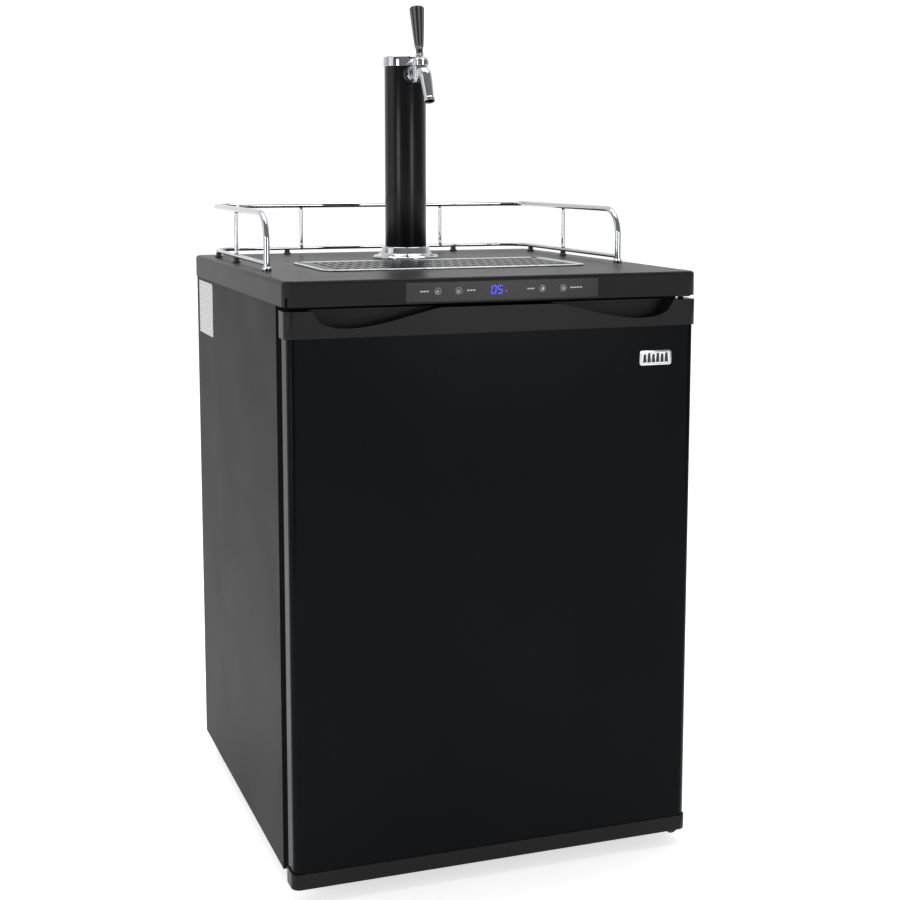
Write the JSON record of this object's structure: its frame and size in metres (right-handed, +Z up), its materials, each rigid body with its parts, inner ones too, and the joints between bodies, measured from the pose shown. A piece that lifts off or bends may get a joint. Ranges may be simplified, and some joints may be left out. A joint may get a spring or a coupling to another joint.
{
  "type": "kegerator",
  "caption": "Upright keg refrigerator with a hinged door, a beer tower with a tap, a drip tray and a chrome guard rail on its worktop.",
  "frame": {"origin": "on the floor, under the centre of the worktop", "axes": "+Z up, the door faces -Y, +X to the right of someone facing the door"},
  "size_m": [0.606, 0.636, 1.2527],
  "materials": {
    "cabinet_paint": "satin black powder coat",
    "door_paint": "satin black",
    "plated_steel": "zinc plated sheet",
    "insulation_foam": "rigid foam",
    "white_plastic": "thermoformed, semi gloss",
    "gasket_rubber": "soft, satin",
    "worktop_plastic": "satin, fine grain",
    "cap_plastic": "satin, fine grain",
    "overlay": "gloss film",
    "button_plastic": "gloss",
    "circuit": "solder mask",
    "chrome": "polished",
    "tower_paint": "satin black",
    "handle_plastic": "polished black",
    "black_plastic": "moulded",
    "stainless": "brushed",
    "grille_steel": "satin black",
    "hinge_steel": "black zinc",
    "cold_plate": "bare",
    "cylinder_aluminium": "brushed",
    "brass": "turned",
    "copper": "drawn copper",
    "compressor_black": "gloss black",
    "condenser_black": "matt black",
    "hose_clear": "clear vinyl",
    "hose_red": "red vinyl",
    "clip_plastic": "moulded",
    "badge_metal": "bright"
  },
  "bodies": {
    "cabinet": {"cabinet_shell": "cabinet_paint", "back_panel": "plated_steel", "foam_insulation": "insulation_foam", "inner_liner": "white_plastic", "base_pan": "plated_steel", "rear_feet": "black_plastic", "keg_floor_plate": "stainless", "evaporator_plate": "cold_plate", "worktop": "worktop_plastic", "control_panel": "overlay", "control_board": "circuit", "guard_rail_upper": "chrome", "guard_rail_lower": "chrome", "guard_rail_posts": "chrome", "guard_rail_feet": "black_plastic", "tower_flange": "chrome", "tower_screws": "stainless", "tower_column": "tower_paint", "tower_cap": "chrome", "faucet_shank": "chrome", "shank_collar": "black_plastic", "coupling_nut": "chrome", "faucet_body": "chrome", "faucet_bonnet": "chrome", "hinge_bracket_top": "hinge_steel", "hinge_bracket_bottom": "hinge_steel", "beer_line": "hose_clear", "gas_line": "hose_red", "line_clips": "clip_plastic", "keg_coupler": "chrome", "co2_cylinder": "cylinder_aluminium", "co2_valve": "brass", "co2_regulator": "brass", "cylinder_strap": "plated_steel", "compressor": "compressor_black", "condenser_coil": "condenser_black", "refrigerant_pipes": "copper", "cord_gland": "black_plastic"},
    "door": {"door_panel": "door_paint", "door_top_cap": "cap_plastic", "door_bottom_cap": "cap_plastic", "door_foam": "insulation_foam", "door_liner": "white_plastic", "door_gasket": "gasket_rubber", "badge_plate": "badge_metal"},
    "tap": {"faucet_lever": "chrome", "tap_handle": "handle_plastic"},
    "shaft": {"faucet_shaft": "stainless"},
    "button_up": {"button_up": "button_plastic"},
    "button_down": {"button_down": "button_plastic"},
    "button_light": {"button_light": "button_plastic"},
    "button_power": {"button_power": "button_plastic"},
    "tray": {"drip_tray": "stainless"},
    "grille": {"drip_grille": "grille_steel"},
    "foot_left": {"levelling_foot_left": "black_plastic"},
    "foot_right": {"levelling_foot_right": "black_plastic"},
    "coupler_handle": {"coupler_handle": "black_plastic"},
    "coupler_probe": {"coupler_probe": "stainless"},
    "valve_knob": {"valve_knob": "black_plastic"},
    "regulator_screw": {"regulator_screw": "black_plastic"}
  },
  "joints": [
    {"name": "door_hinge", "type": "hinge", "parent": "cabinet", "child": "door", "pos_m": [0.2895, -0.292, 0.4], "axis": [0, 0, 1], "range_deg": [0, 125]},
    {"name": "tap_pull", "type": "hinge", "parent": "cabinet", "child": "tap", "pos_m": [0, 0.024, 1.16], "axis": [1, 0, 0], "range_deg": [0, 25]},
    {"name": "shaft_slide", "type": "slide", "parent": "cabinet", "child": "shaft", "axis": [0, 1, 0], "range_m": [0, 0.0045]},
    {"name": "button_up_press", "type": "slide", "parent": "cabinet", "child": "button_up", "axis": [0, 1, 0], "range_m": [0, 0.0008], "stiffness_N_per_m": 400},
    {"name": "button_down_press", "type": "slide", "parent": "cabinet", "child": "button_down", "axis": [0, 1, 0], "range_m": [0, 0.0008], "stiffness_N_per_m": 400},
    {"name": "button_light_press", "type": "slide", "parent": "cabinet", "child": "button_light", "axis": [0, 1, 0], "range_m": [0, 0.0008], "stiffness_N_per_m": 400},
    {"name": "button_power_press", "type": "slide", "parent": "cabinet", "child": "button_power", "axis": [0, 1, 0], "range_m": [0, 0.0008], "stiffness_N_per_m": 400},
    {"name": "tray_lift", "type": "slide", "parent": "cabinet", "child": "tray", "axis": [0, 0, 1], "range_m": [0, 0.06]},
    {"name": "grille_lift", "type": "slide", "parent": "tray", "child": "grille", "axis": [0, 0, 1], "range_m": [0, 0.04]},
    {"name": "foot_left_turn", "type": "hinge", "parent": "cabinet", "child": "foot_left", "pos_m": [-0.255, -0.225, 0.02], "axis": [0, 0, 1], "continuous": true},
    {"name": "foot_right_turn", "type": "hinge", "parent": "cabinet", "child": "foot_right", "pos_m": [0.255, -0.225, 0.02], "axis": [0, 0, 1], "continuous": true},
    {"name": "coupler_lever", "type": "hinge", "parent": "cabinet", "child": "coupler_handle", "pos_m": [-0.212, 0.19, 0.625], "axis": [0, 1, 0], "range_deg": [0, 60]},
    {"name": "probe_slide", "type": "slide", "parent": "cabinet", "child": "coupler_probe", "axis": [0, 0, -1], "range_m": [0, 0.018]},
    {"name": "valve_turn", "type": "hinge", "parent": "cabinet", "child": "valve_knob", "pos_m": [0.1875, 0.1035, 0.523], "axis": [0, 0, 1], "range_deg": [0, 720]},
    {"name": "regulator_turn", "type": "hinge", "parent": "cabinet", "child": "regulator_screw", "pos_m": [0.1875, 0, 0.497], "axis": [0, -1, 0], "range_deg": [0, 1080]}
  ],
  "couplings": [
    {"joint": "shaft_slide", "follows": "tap_pull", "m_per_rad": 0.01},
    {"joint": "probe_slide", "follows": "coupler_lever", "m_per_rad": 0.017}
  ]
}
